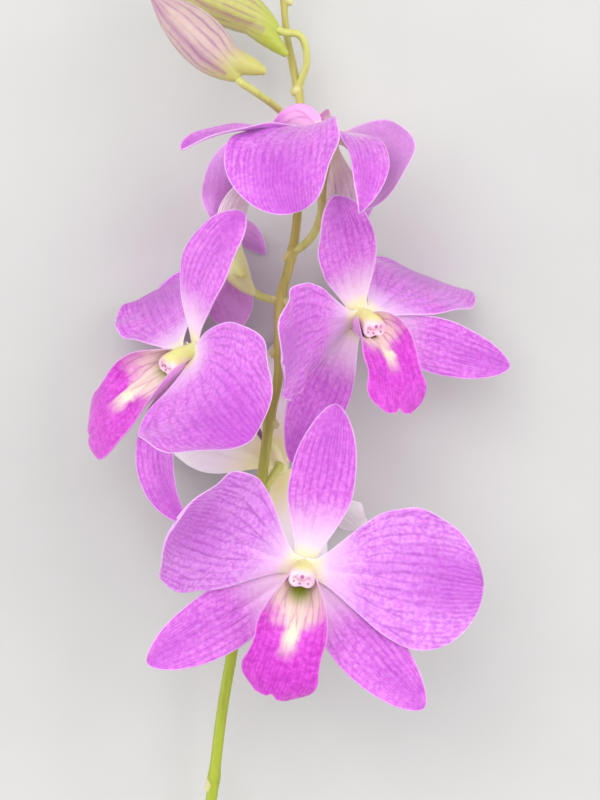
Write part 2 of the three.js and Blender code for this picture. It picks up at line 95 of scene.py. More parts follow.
# The same placing values as the solids, in degrees and millimetres
BLOOMS = {
    "bloom_1": dict(
        at=(0.5, -30.3, 36), yaw=0, pitch=-3, roll=-8,
        dorsal_sepal=dict(aim=5, lift=9, curl=-5, sweep=-4, fold=18),
        petal_left=dict(aim=-72, lift=16, curl=55, turn=9, fold=3, width=25, tip=0.48),
        petal_right=dict(aim=84, lift=10, sweep=6, turn=-2, length=30, width=25.5, lean=7),
        sepal_left=dict(aim=-131, lift=3, curl=6, sweep=5, length=30, lean=-5),
        sepal_right=dict(aim=134, lift=8, curl=-5, sweep=-7, length=30.5),
        lip=dict(aim=181, lift=40, curl=-70, sweep=12, fold=-8, length=22, width=15.5),
    ),
    "bloom_2": dict(
        at=(-4, -12.6, 10), yaw=180, pitch=0, roll=158,
        dorsal_sepal=dict(aim=-10, lift=8, curl=-10, length=25),
        petal_left=dict(aim=-57, lift=14, curl=-10, length=20, width=15),
        petal_right=dict(aim=29, lift=22, curl=0, turn=-60, length=19, width=14),
        sepal_left=dict(
            aim=-136, lift=21, curl=-14, sweep=6, fold=18, length=26, width=14, base=0.26,
            tip=0.75),
        sepal_right=dict(aim=154, lift=24, curl=0, length=25, width=13, base=0.26),
        lip=dict(aim=188, lift=60, curl=-75, length=17, width=12),
    ),
    "bloom_3": dict(
        at=(-20.5, 8.4, 27), yaw=-52, pitch=-18, roll=-32,
        dorsal_sepal=dict(
            aim=-11, lift=5, curl=-43, sweep=33, turn=10, twist=-10, fold=6, base=0.28,
            setback=-1.8),
        petal_left=dict(
            aim=-89, lift=-36, curl=12, sweep=-28, turn=-40, twist=-35, fold=24, width=22.5,
            setback=0.5),
        petal_right=dict(
            aim=72, lift=35, curl=-35, sweep=24, turn=30, twist=29, fold=46, length=30, width=30.5),
        sepal_left=dict(aim=-126, lift=-25, curl=-2, fold=20, setback=-2.3),
        sepal_right=dict(
            aim=160, lift=60, curl=-80, sweep=-38, twist=20, fold=27, length=32.5, width=11,
            lean=40, tip=0.8, setback=-1.4),
        lip=dict(aim=202, lift=70, curl=-74, sweep=5, twist=-28, length=24, setback=1.3),
    ),
    "bloom_4": dict(
        at=(11.4, 15.1, 26), yaw=28, pitch=-12, roll=8,
        dorsal_sepal=dict(aim=-18, lift=18, curl=14, sweep=-12, turn=5, fold=19, length=27),
        petal_left=dict(
            aim=-90, lift=18, curl=37, sweep=-13, turn=14, twist=-4, fold=-6, length=27, width=21.5),
        petal_right=dict(
            aim=71, lift=-25, curl=-36, sweep=34, turn=48, twist=34, fold=7, length=29.5),
        sepal_left=dict(aim=-145, lift=4, curl=13, twist=-10, fold=16, length=27.5, setback=-1.5),
        sepal_right=dict(aim=116, lift=10, curl=7, sweep=-7, fold=15, length=29, width=10.5),
        lip=dict(aim=184, lift=87, curl=-78, sweep=6, turn=-13, twist=19, length=21, width=13.5),
    ),
    "bloom_5": dict(
        at=(-13.2, 27.9, 15), yaw=-105, pitch=62, roll=0, chin=75,
        dorsal_sepal=dict(
            aim=-95, lift=60, curl=-140, sweep=36, turn=17, fold=36, length=17.5, width=7.5,
            tip=0.8),
        petal_left=dict(aim=-140, lift=48, curl=-20, turn=12, length=13, width=11.5),
        petal_right=dict(
            aim=22, lift=55, curl=-12, sweep=-22, turn=-4, twist=30, fold=40, length=22, width=18,
            lean=-24),
        sepal_left=dict(aim=-152, lift=-60, curl=-25, turn=-35, length=13, width=10),
        sepal_right=dict(
            aim=58, lift=55, curl=-46, sweep=-60, twist=23, fold=30, length=17.5, width=7,
            setback=-1.6),
        lip=dict(aim=145, lift=45, curl=-60, length=8, width=8, ring=2.5),
    ),
    "bloom_6": dict(
        at=(5.1, 47.9, 28), yaw=-8, pitch=118, roll=-126,
        dorsal_sepal=dict(
            aim=16, lift=-22, curl=-100, sweep=-3, turn=-14, twist=12, fold=16, width=9,
            tip=0.8),
        petal_left=dict(
            aim=-50, lift=-10, curl=-162, sweep=14, turn=14, twist=14, fold=8, length=22.5,
            width=21, lean=-12),
        petal_right=dict(
            aim=75, lift=-22, curl=-112, sweep=6, turn=6, fold=22, length=29.5, width=23, lean=-8),
        sepal_left=dict(aim=-120, lift=-25, curl=-55, turn=-19, length=22, width=10),
        sepal_right=dict(
            aim=112, lift=-8, curl=-44, sweep=-6, turn=17, twist=26, fold=24, length=29.5,
            width=8, lean=30, setback=1.8),
        lip=dict(
            aim=-178, lift=44, curl=-90, sweep=-10, turn=11, twist=4, fold=10, length=13,
            width=12.5),
    ),
}
BLADES = ("dorsal_sepal", "petal_left", "petal_right", "sepal_left", "sepal_right", "lip")

# The middle of a bud's root, its tip, its greatest width and the point of its spur
BUDS = {
    "bud_1": dict(root=(-11.4, 58.8, 27), tip=(-27.4, 74.5, 26), width=9.2, spur=(-6.2, 60.2, 26.4)),
    "bud_2": dict(root=(-4.2, 69.6, 16.5), tip=(-26.2, 79.4, 16), width=8.4, spur=(-2.4, 64.8, 16.4)),
    "bud_3": dict(root=(-5.4, 85.4, 12.2), tip=(-10.4, 92.4, 12), width=4.2, spur=(-4, 86, 12.2)),
    "bud_4": dict(root=(2, 92.4, 12), tip=(4.6, 97.8, 11.8), width=3.2, spur=(1.3, 93.2, 12)),
}

# The stem's midline from the cut end to the tip, with the radius there
STEM_LINE = [
    (-27, -141, 0.9, 1.1), (-20.4, -104, 6.4, 1.1), (-16.4, -72, 11, 1.08), (-14.8, -59.2, 12.4, 1.05),
    (-12.7, -47, 14.4, 1.05), (-10, -31.2, 16, 1), (-7.3, -15.6, 17.6, 1), (-5.6, -3.2, 18.8, 0.95),
    (-4.1, 4, 19.2, 0.92), (-3.7, 18, 19, 0.92), (-1.6, 27, 17.6, 0.88), (-0.5, 34.8, 15.6, 0.86),
    (0.1, 55.8, 11.4, 0.8), (-1.3, 63.4, 11, 0.76), (-2.5, 69.5, 11, 0.7), (-3, 76.2, 11.2, 0.64),
    (-2, 84.6, 11.6, 0.56), (-0.4, 92.4, 12, 0.34),
]
# Joints of the stem: the place, which way the scale leaf points, and its length
JOINTS = {
    "sheath": ((-16.4, -72, 11), (0.5, 1, 0), 3.2),
    "lower": ((-10.4, -33, 15.8), (1, 0.4, 0.6), 2.2),
    "back": ((-7.9, -18.6, 17.2), (0.9, 0.6, 0), 2.2),
    "left": ((-5.7, -4, 18.7), (-1, 0.6, 0.2), 2.2),
    "right": ((-4, 9.3, 19.1), (1, 0.6, 0.4), 2.2),
    "behind": ((-3.6, 18.6, 18.9), (-1, 0.3, 0), 2.6),
    "high": ((-1.5, 27.4, 17.5), (1, 0.8, 0), 2.2),
    "bud_low": ((-0.1, 49.4, 12.7), (-1, 0.6, 0.6), 1.8),
    "bud_high": ((-0.4, 59.2, 11.2), (1, 0.8, 0), 1.8),
    "top": ((-3, 76.6, 11.2), (-1, 0.8, 0), 2.2),
}
# Where a bud's stalk starts, and the points that it passes
BUD_STALKS = {
    "bud_1": (JOINTS["bud_low"][0], [(-3.4, 53.8, 18), (-8, 56.6, 24.6)]),
    "bud_2": (JOINTS["bud_high"][0], [(1.3, 64.2, 14), (0, 68.6, 16)]),
    "bud_3": (JOINTS["top"][0], [(-4, 82, 11.8)]),
    "bud_4": ((-0.9, 90, 11.9), [(0.6, 91, 12)]),
}
# The joint of a bloom's stalk, and how far the stalk runs straight behind the bloom
BLOOM_STALKS = {
    "bloom_1": ("lower", 7), "bloom_2": ("back", 2), "bloom_3": ("left", 5),
    "bloom_4": ("right", 6), "bloom_5": ("behind", 5), "bloom_6": ("high", 9),
}
# Points that a strongly bent stalk passes on its way from the joint to the bloom
HOOKED_STALKS = {"bloom_6": [(2, 30.2, 19.5), (3.8, 34.2, 22), (4.2, 39.4, 24.4)]}
PEDICEL_RADIUS = 0.85
BUD_STALK_RADIUS = 0.7
COLUMN_ROOT = -4.4
SEAT_GAP = 0.3
# The last straight piece of a stalk, and where it bends as a share of the way to the joint
STALK_FOOT = 0.8
STALK_BEND = 0.4

# The photograph's camera, over the flower's own origin
CAMERA_HEIGHT = 430
FOCAL_PX = 2200
PHOTO_HEIGHT_PX = 800
SENSOR = 36


def smoothstep(x, lo, hi):
    t = np.clip((x - lo) / (hi - lo), 0, 1)
    return t * t * (3 - 2 * t)


def along(table, u):
    """Smooth line through (place, value) pairs."""
    xs, ys = np.array(table, float).T
    last = len(xs) - 1
    before = np.maximum(np.arange(last + 1) - 1, 0)
    after = np.minimum(np.arange(last + 1) + 1, last)
    slope = (ys[after] - ys[before]) / (xs[after] - xs[before])
    i = np.clip(np.searchsorted(xs, u, side="left") - 1, 0, last - 1)
    step = xs[i + 1] - xs[i]
    t = np.clip((u - xs[i]) / step, 0, 1)
    s = 1 - t
    return (ys[i] * s * s * (1 + 2 * t) + ys[i + 1] * t * t * (3 - 2 * t)
            + step * t * s * (slope[i] * s - slope[i + 1] * t))


def half_width(shape, u):
    if shape["kind"] == "lip":
        return along(LIP_OUTLINE, u) * shape["width"] / 2
    base, peak, tip, width = (shape[k] for k in ("base", "peak", "tip", "width"))
    rise = base + (1 - base) * np.sin(QUARTER_TURN * np.clip(u / peak, 0, 1)) ** SWELL_POWER
    fall = np.cos(QUARTER_TURN * np.clip((u - peak) / (1 - peak), 0, 1)) ** tip
    return np.maximum(np.where(u < peak, rise, fall), LEAST_WIDTH) * width / 2


def midrib(shape):
    """The midrib's points and its forward, up and side directions."""
    u = np.linspace(0, 1, PATH_STEPS + 1)
    a = np.radians(shape["aim"] + shape["sweep"] * u)
    e = np.radians(shape["lift"] + shape["curl"] * u**CURL_POWER)
    forward = np.stack([np.cos(e) * np.sin(a), np.cos(e) * np.cos(a), np.sin(e)], 1)
    up = np.stack([-np.sin(e) * np.sin(a), -np.sin(e) * np.cos(a), np.cos(e)], 1)
    step = shape["length"] / PATH_STEPS / 2
    aim = math.radians(shape["aim"])
    ring = shape["ring"]
    start = np.array([ring * math.sin(aim), ring * math.cos(aim), shape["setback"]])
    moves = (forward[1:] + forward[:-1]) * step
    points = np.vstack([start, start + np.cumsum(moves, 0)])
    return points, forward, up, np.cross(forward, up)


def blade_surface(shape, u, v):
    """Points and normals of the blade's middle surface at the grid of u and v, in the bloom."""
    rows = midrib(shape)
    at = np.clip(u, 0, 1) * PATH_STEPS
    i = np.clip(at.astype(int), 0, PATH_STEPS - 1)
    t = (at - i)[:, None]
    point, forward, up0, side0 = (r[i] * (1 - t) + r[i + 1] * t for r in rows)
    point = point + forward * np.minimum(u, 0)[:, None] * shape["length"]
    roll = np.radians(shape["turn"] + shape["twist"] * u)[:, None]
    side = side0 * np.cos(roll) + up0 * np.sin(roll)
    up = up0 * np.cos(roll) - side0 * np.sin(roll)
    extra = along(LIP_FOLD, u) if shape["kind"] == "lip" else 0 * u
    fold = np.radians(shape["fold"] + extra)
    fold = np.where(fold == 0, FLAT_FOLD, fold)[:, None]
    w = half_width(shape, u)[:, None]
    across = w / fold * np.sin(fold * v)
    raised = w / fold * (1 - np.cos(fold * v))
    slant = across * math.sin(math.radians(shape["lean"]))

    def spread(row, values):
        return row[:, None, :] * values[:, :, None]

    points = (point[:, None, :] + spread(forward, slant) + spread(side, across)
              + spread(up, raised))
    normals = spread(up, np.cos(fold * v)) - spread(side, np.sin(fold * v))
    return points, normals / np.linalg.norm(normals, axis=2, keepdims=True)


def bloom_matrix(bloom):
    y, x, z = (math.radians(bloom[k]) for k in ("yaw", "pitch", "roll"))
    ry = np.array([[math.cos(y), 0, math.sin(y)], [0, 1, 0], [-math.sin(y), 0, math.cos(y)]])
    rx = np.array([[1, 0, 0], [0, math.cos(x), math.sin(x)], [0, -math.sin(x), math.cos(x)]])
    rz = np.array([[math.cos(z), -math.sin(z), 0], [math.sin(z), math.cos(z), 0], [0, 0, 1]])
    return ry @ rx @ rz


def in_bloom(bloom, points):
    return points @ bloom_matrix(bloom).T + np.array(bloom["at"])


def full_shape(bloom, part):
    kind = LIP if part == "lip" else PETAL if part.startswith("petal") else SEPAL
    return {**kind, **bloom[part]}


def cad_origin():
    """Where the part's origin lies: the solids of one blade against the same blade here."""
    bloom, part = BLOOMS["bloom_1"], "petal_left"
    shape = full_shape(bloom, part)
    n, m = shape["grid"]
    u = np.sin(QUARTER_TURN * np.arange(n + 1) / n) ** STEP_SPREAD
    points, normals = blade_surface(shape, u, 2 * np.arange(m + 1)[None, :] / m - 1)
    both = np.concatenate([points + s * normals * CAD_THICKNESS for s in (0.5, -0.5)])
    own = in_bloom(bloom, both.reshape(-1, 3)).min(0)
    return np.array(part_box("bloom_1_petal_left")[0]) / MM - own


ORIGIN = cad_origin()


def to_frame(points):
    return (points + ORIGIN) * MM


def make_mesh(name, points, faces, attributes, material, nodes):
    """A smooth piece from points in the frame, which stands for the given nodes."""
    mesh = bpy.data.meshes.new(name)
    mesh.from_pydata(points.tolist(), [], faces)
    for key, values in attributes.items():
        kind = "FLOAT_VECTOR" if values.ndim == 2 else "FLOAT"
        layer = mesh.attributes.new(key, kind, "POINT")
        layer.data.foreach_set("vector" if values.ndim == 2 else "value", values.ravel())
    mesh.polygons.foreach_set("use_smooth", [True] * len(mesh.polygons))
    mesh.materials.append(material)
    mesh.update()
    piece = bpy.data.objects.new(name, mesh)
    bpy.context.scene.collection.objects.link(piece)
    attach(piece, "root")
    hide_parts(*nodes)
    return piece


# Shader building

def linear(colour):
    parts = [(colour >> shift & 255) / 255 for shift in (16, 8, 0)]
    return [c / 12.92 if c <= 0.04045 else ((c + 0.055) / 1.055) ** 2.4 for c in parts] + [1]


class Shader:
    """A material whose node inputs are given as numbers, colours or other nodes' outputs."""

    def __init__(self, name, roughness=0.5, sheen=0.0, subsurface=0.0, specular=0.4):
        self.material = bpy.data.materials.new(name)
        self.material.use_nodes = True
        self.tree = self.material.node_tree
        self.surface = self.tree.nodes["Principled BSDF"]
        self.surface.inputs["Roughness"].default_value = roughness
        self.surface.inputs["Specular IOR Level"].default_value = specular
        self.surface.inputs["Sheen Weight"].default_value = sheen
        self.surface.inputs["Subsurface Weight"].default_value = subsurface
        self.surface.inputs["Subsurface Scale"].default_value = 0.0012
        place = self.tree.nodes.new("ShaderNodeTexCoord")
        self.place = place.outputs["Object"]

    def put(self, socket, value):
        if isinstance(value, bpy.types.NodeSocket):
            self.tree.links.new(value, socket)
        elif socket.type == "RGBA":
            socket.default_value = linear(value)
        elif isinstance(value, (tuple, list)):
            socket.default_value = value
        else:
            socket.default_value = float(value)

    def math(self, operation, *values, clamp=False):
        node = self.tree.nodes.new("ShaderNodeMath")
        node.operation = operation
        node.use_clamp = clamp
        for socket, value in zip(node.inputs, values):
            self.put(socket, value)
        return node.outputs[0]

    def add(self, a, b):
        return self.math("ADD", a, b)

    def times(self, a, b):
        return self.math("MULTIPLY", a, b)

    def less(self, a, b):
        return self.math("SUBTRACT", a, b)

    def ramp(self, value, lo, hi, start=0.0, end=1.0):
        node = self.tree.nodes.new("ShaderNodeMapRange")
        node.interpolation_type = "SMOOTHSTEP"
        for socket, item in zip(node.inputs, (value, lo, hi, start, end)):
            self.put(socket, item)
        return node.outputs[0]

    def mix(self, share, a, b):
        node = self.tree.nodes.new("ShaderNodeMix")
        node.data_type = "RGBA"
        colours = [s for s in node.inputs if s.type == "RGBA"]
        self.put(node.inputs[0], share)
        self.put(colours[0], a)
        self.put(colours[1], b)
        return next(s for s in node.outputs if s.type == "RGBA")

    def noise(self, scale, detail=2.0, rough=0.5, where=None):
        node = self.tree.nodes.new("ShaderNodeTexNoise")
        self.put(node.inputs["Vector"], where or self.place)
        node.inputs["Scale"].default_value = scale
        node.inputs["Detail"].default_value = detail
        node.inputs["Roughness"].default_value = rough
        return node.outputs[0]

    def dice(self, value):
        node = self.tree.nodes.new("ShaderNodeTexWhiteNoise")
        node.noise_dimensions = "1D"
        self.put(node.inputs["W"], value)
        return node.outputs["Value"]

    def attribute(self, name):
        node = self.tree.nodes.new("ShaderNodeAttribute")
        node.attribute_name = name
        return node

    def split(self, vector):
        node = self.tree.nodes.new("ShaderNodeSeparateXYZ")
        self.put(node.inputs[0], vector)
        return node.outputs

    def join(self, x, y, z):
        node = self.tree.nodes.new("ShaderNodeCombineXYZ")
        for socket, value in zip(node.inputs, (x, y, z)):
            self.put(socket, value)
        return node.outputs[0]

    def finish(self, colour, height, distance, strength):
        bump = self.tree.nodes.new("ShaderNodeBump")
        bump.inputs["Distance"].default_value = distance
        bump.inputs["Strength"].default_value = strength
        self.put(bump.inputs["Height"], height)
        self.put(self.surface.inputs["Base Color"], colour)
        self.put(self.surface.inputs["Normal"], bump.outputs[0])
        return self.material


def veins(sh, across, down, cells, first=0.15, second=0.45):
    """1 on the veins: lines that fan out from the base and fork twice on their way."""
    wobble = sh.less(sh.noise(260, 2), 0.5)
    fine = sh.less(sh.noise(900, 1), 0.5)
    x = sh.add(across, sh.add(sh.times(wobble, 0.07), sh.times(fine, 0.035)))
    x = sh.add(sh.times(x, cells), 0.5)
    cell = sh.math("FLOOR", x)
    half = sh.math("FLOOR", sh.times(x, 2))
    from_middle = sh.math("ABSOLUTE", sh.less(sh.less(x, cell), 0.5))
    fork = sh.add(first, sh.times(sh.dice(cell), 0.25))
    open_1 = sh.times(sh.ramp(down, fork, sh.add(fork, 0.2)), 0.25)
    from_middle = sh.math("ABSOLUTE", sh.less(from_middle, open_1))
    fork = sh.add(second, sh.times(sh.dice(sh.add(half, 31.7)), 0.3))
    open_2 = sh.times(sh.ramp(down, fork, sh.add(fork, 0.2)), 0.125)
    from_middle = sh.math("ABSOLUTE", sh.less(from_middle, open_2))
    broken = sh.ramp(sh.noise(420, 2), 0.3, 0.6, 0.35, 1.0)
    return sh.times(sh.ramp(from_middle, 0.0, 0.14, 1.0, 0.0), broken)


# How much of the ground the pale base covers
FADE_STRENGTH = 0.9


def blade_material(name, look):
    """Petal skin: mottled ground, forking veins, pale base and margin, a paler outer face."""
    sh = Shader(name, roughness=0.5, sheen=0.25, subsurface=0.12)
    across, down, edge = sh.split(sh.attribute("blade").outputs["Vector"])
    inner = sh.attribute("inner").outputs["Fac"]
    middle = sh.math("ABSOLUTE", across)
    mottle = sh.noise(1300, 2, 0.6)
    patch = sh.noise(120, 2)
    grain = sh.ramp(mottle, 0.28, 0.72)
    colour = sh.mix(grain, look["light"], look["mid"])
    flush = sh.times(sh.ramp(middle, 0.15, 0.75, 1.0, 0.0), sh.ramp(down, 0.3, 0.8))
    flush = sh.times(flush, look["flush"])
    colour = sh.mix(flush, colour, look["deep"])
    colour = sh.mix(sh.times(sh.ramp(patch, 0.35, 0.7), 0.35), colour, look["mid"])
    line = veins(sh, across, down, look["cells"])
    strength = sh.times(sh.ramp(patch, 0.25, 0.7, 0.45, 1.0), look["vein_strength"])
    strength = sh.times(strength, sh.ramp(inner, 0.0, 1.0, look["outer_vein"], 1.0))
    colour = sh.mix(sh.times(line, strength), colour, look["vein"])
    fade = look["fade"]
    lighter = sh.ramp(sh.add(down, sh.times(sh.less(patch, 0.5), 0.12)), fade[0], fade[1], 1.0, 0.0)
    colour = sh.mix(sh.times(lighter, FADE_STRENGTH), colour, look["base"])
    outer = sh.ramp(inner, 0.0, 1.0, look["outer_share"], 0.0)
    colour = sh.mix(outer, colour, look["outer"])
    foot = sh.ramp(down, 0.0, look["foot_reach"], 0.75, 0.0)
    colour = sh.mix(foot, colour, look["foot"])
    colour = sh.mix(sh.ramp(edge, 0.03, 0.3, 0.4, 0.0), colour, look["margin"])
    height = sh.less(sh.times(mottle, 0.6), sh.times(line, 0.3))
    return sh.finish(colour, height, 0.00012, 0.6)


def lip_material():
    """Deep magenta with dark veins, pale inside its side lobes and down its middle streak."""
    sh = Shader("lip_skin", roughness=0.42, sheen=0.3, subsurface=0.12)
    across, down, edge = sh.split(sh.attribute("blade").outputs["Vector"])
    inner = sh.attribute("inner").outputs["Fac"]
    middle = sh.math("ABSOLUTE", across)
    mottle = sh.noise(1100, 2, 0.6)
    colour = sh.mix(sh.ramp(mottle, 0.3, 0.7), 0xDA48D2, 0xBE22B6)
    line = veins(sh, across, down, 2.8, 0.05, 0.4)
    colour = sh.mix(sh.times(line, 0.42), colour, 0x9A169C)
    rough_edge = sh.add(middle, sh.times(sh.less(sh.noise(500, 3), 0.5), 0.3))
    streak = sh.times(sh.ramp(rough_edge, 0.06, 0.3, 1.0, 0.0), sh.ramp(down, 0.42, 0.68, 1.0, 0.0))
    colour = sh.mix(sh.times(streak, 0.92), colour, 0xF4EFC8)
    ragged = sh.times(sh.less(sh.noise(380, 3), 0.5), 0.22)
    throat = sh.ramp(sh.add(sh.add(down, ragged), sh.times(middle, 0.16)), 0.28, 0.5, 1.0, 0.0)
    pale = sh.mix(sh.times(line, 0.5), 0xE6CCC4, 0xAC5090)
    colour = sh.mix(sh.times(throat, 0.9), colour, pale)
    # Green throat under the column's front, made darker there as painted shade from the column's rim
    green_and_shade = sh.times(sh.ramp(down, 0.04, 0.24, 1.0, 0.0), sh.ramp(middle, 0.1, 0.6, 1.0, 0.0))
    colour = sh.mix(green_and_shade, colour, 0x8A9C1E)
    outer = sh.ramp(inner, 0.0, 1.0, 0.5, 0.0)
    colour = sh.mix(outer, colour, 0xD98CDA)
    lobe_back = sh.times(sh.ramp(down, 0.22, 0.5, 0.9, 0.0), sh.ramp(inner, 0.0, 1.0, 1.0, 0.0))
    colour = sh.mix(lobe_back, colour, sh.mix(sh.times(line, 0.6), 0xDF9FD6, 0xBE62B4))
    colour = sh.mix(sh.ramp(edge, 0.04, 0.3, 0.45, 0.0), colour, 0xE3B4E2)
    height = sh.less(sh.times(mottle, 0.6), sh.times(line, 0.4))
    return sh.finish(colour, height, 0.00015, 0.7)


PETAL_LOOK = dict(
    light=0xE08AE4, mid=0xC957D2, deep=0xB03CBC, vein=0x9A2AA8, vein_strength=0.6, cells=3.6,
    base=0xEBCBEC, foot=0xEDE9B8, fade=(0.02, 0.32), margin=0xF3E2F4, outer=0xE2AEE6,
    flush=0.6, outer_vein=0.45, outer_share=0.5, foot_reach=0.1,
)
SOFT_LOOK = dict(PETAL_LOOK, light=0xE29CE8, mid=0xCA6CD6)
SEPAL_LOOK = dict(
    PETAL_LOOK, cells=2.4, light=0xE085E2, mid=0xC856CE, fade=(0.04, 0.42), flush=0.4,
    base=0xEFD6E8)
PALE_LOOK = dict(
    SEPAL_LOOK, outer=0xF8EFF2, outer_share=0.9, outer_vein=0.35, fade=(0.1, 0.7), vein=0xB77BC0,
    foot=0xDFD878, foot_reach=0.4, light=0xF6E6F2, mid=0xEBD2E8, deep=0xDDB0DC)
STRIPED_LOOK = dict(
    SEPAL_LOOK, light=0xF3E6E2, mid=0xE6C8DE, deep=0xD08CD0, vein=0x8E3C98, vein_strength=0.8,
    cells=3.4, outer=0xF3EADF, outer_share=0.35, outer_vein=1.0, base=0xF2EBCF)

MATERIALS = {
    "petal": blade_material("petal_skin", PETAL_LOOK),
    "soft": blade_material("soft_skin", SOFT_LOOK),
    "striped": blade_material("striped_skin", STRIPED_LOOK),
    "sepal": blade_material("sepal_skin", SEPAL_LOOK),
    "pale": blade_material("pale_skin", PALE_LOOK),
    "lip": lip_material(),
}

# Blades that differ from the rest of their kind
SPECIAL_LOOKS = {
    "bloom_1_petal_left": "soft", "bloom_1_petal_right": "soft",
    "bloom_5_sepal_right": "striped", "bloom_6_sepal_left": "striped",
}

# Where the fine form leaves the solid's values, mostly to reach past a neighbour
FINE_CHANGES = {
    "bloom_5_lip": dict(length=5.5, width=6, curl=-110),
    "bloom_5_petal_left": dict(length=9, width=8),
    "bloom_6_lip": dict(length=15, width=15, twist=40),
    "bloom_6_sepal_right": dict(width=6.6, setback=0),
}

# Fine grids along and across each kind of blade
FINE_GRID = {"sepal": (60, 36), "petal": (72, 60), "lip": (72, 60)}
# How far a blade runs on behind its base, as a share of its length, and its rows there
BASE_REACH = 0.07
BASE_ROWS = 5
# How near to the margins the columns crowd, and how much of that crowding is used
COLUMN_SPREAD = 0.98
SPREAD_SHARE = 0.55
# Thickness in millimetres down the middle and at the margin
THICK = {"sepal": 0.6, "petal": 0.5, "lip": 0.5}
THIN = 0.16
# How far the pattern of each kind narrows with the blade towards its tip
PATTERN_TAPER = {"petal": 0.3, "sepal": 0.65, "lip": 0.5}
# Depth of the notch in a lip's front, and its width as a share of the half width
NOTCH = 0.8
NOTCH_WIDTH = 0.2
# How far a lip's side lobes reach back beside the column
LOBE_REACH = 2.6
# Margin waves: their height in millimetres and how many run along each side
WAVES = {"sepal": (0.22, 2.3), "petal": (0.5, 3.4), "lip": (0.28, 2.6)}
# The groove down the midrib, the pleats beside it and the lip's three keels, in millimetres
RIB_DEPTH = 0.28
RIB_WIDTH = 0.7
PLEAT_HEIGHT = 0.09
PLEAT_COUNT = 3.2
KEEL_HEIGHT = 0.5
KEEL_WIDTH = 0.35
KEEL_PLACES = (-1.1, 0, 1.1)


def margin_distance(x, y, edge_x, edge_y):
    """Distance of each point of a flattened blade to its outline."""
    a = np.stack([edge_x[:-1], edge_y[:-1]], 1)
    d = np.stack([np.diff(edge_x), np.diff(edge_y)], 1)
    length = np.maximum((d**2).sum(1), 1e-9)
    p = np.stack([x.ravel(), y.ravel()], 1)
    t = np.clip(((p[:, None, :] - a[None]) * d[None]).sum(2) / length, 0, 1)
    gap = p[:, None, :] - a[None] - t[:, :, None] * d[None]
    return np.sqrt((gap**2).sum(2)).min(1).reshape(x.shape)


def relief(shape, u, v, w, seed):
    """How far the blade's surface stands off its smooth form, in millimetres."""
    rng = np.random.default_rng(seed)
    phase = rng.uniform(0, 2 * math.pi, 6)
    high, count = WAVES[shape["kind"]]
    uu, inside = u[:, None], np.clip(u, 0, 1)[:, None]
    x = w * v
    side = np.where(v > 0, 0, 1)
    turns = count * uu + 0.3 * np.sin(3 * uu + phase[5])
    wave = np.sin(2 * math.pi * turns + phase[0] + side * phase[1])
    out = high * np.abs(v) ** 3 * wave * smoothstep(inside, 0.1, 0.5)
    rib = RIB_DEPTH * np.exp(-((x / RIB_WIDTH) ** 2))
    out = out - rib * smoothstep(inside, 0.02, 0.15) * (1 - 0.8 * inside)
    pleat = np.sin(2 * math.pi * v * PLEAT_COUNT + phase[2]) * (1 - np.abs(v) ** 2)
    out = out + PLEAT_HEIGHT * pleat * smoothstep(inside, 0.1, 0.4) * (1 - inside * 0.6)
    if shape["kind"] == "lip":
        keels = sum(np.exp(-(((x - at) / KEEL_WIDTH) ** 2)) for at in KEEL_PLACES)
        keels = keels * smoothstep(inside, 0.05, 0.2) * (1 - smoothstep(inside, 0.45, 0.7))
        out = out + KEEL_HEIGHT * keels
    return out


